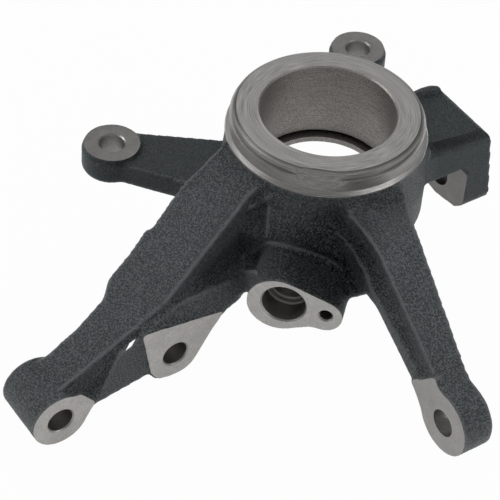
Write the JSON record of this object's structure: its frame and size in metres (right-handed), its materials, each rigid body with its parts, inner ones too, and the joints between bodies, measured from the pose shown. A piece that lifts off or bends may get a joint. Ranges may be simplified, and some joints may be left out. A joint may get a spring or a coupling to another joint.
{
  "type": "steering knuckle",
  "caption": "Front steering knuckle for a strut suspension: black iron casting with machined bearing ring, strut clamp, caliper, steering and ball-joint arms.",
  "frame": {"origin": "centre of the wheel-bearing bore on the machined outboard ring face", "axes": "+Z along the hub axis, outboard; +Y up in the car, towards the strut; -X to the steering arm"},
  "size_m": [0.289, 0.3091, 0.128],
  "materials": {
    "casting": "black coated sand-cast skin, with turned and milled bare iron on the seats"
  },
  "bodies": {
    "root": {"knuckle_casting": "casting"}
  },
  "joints": []
}
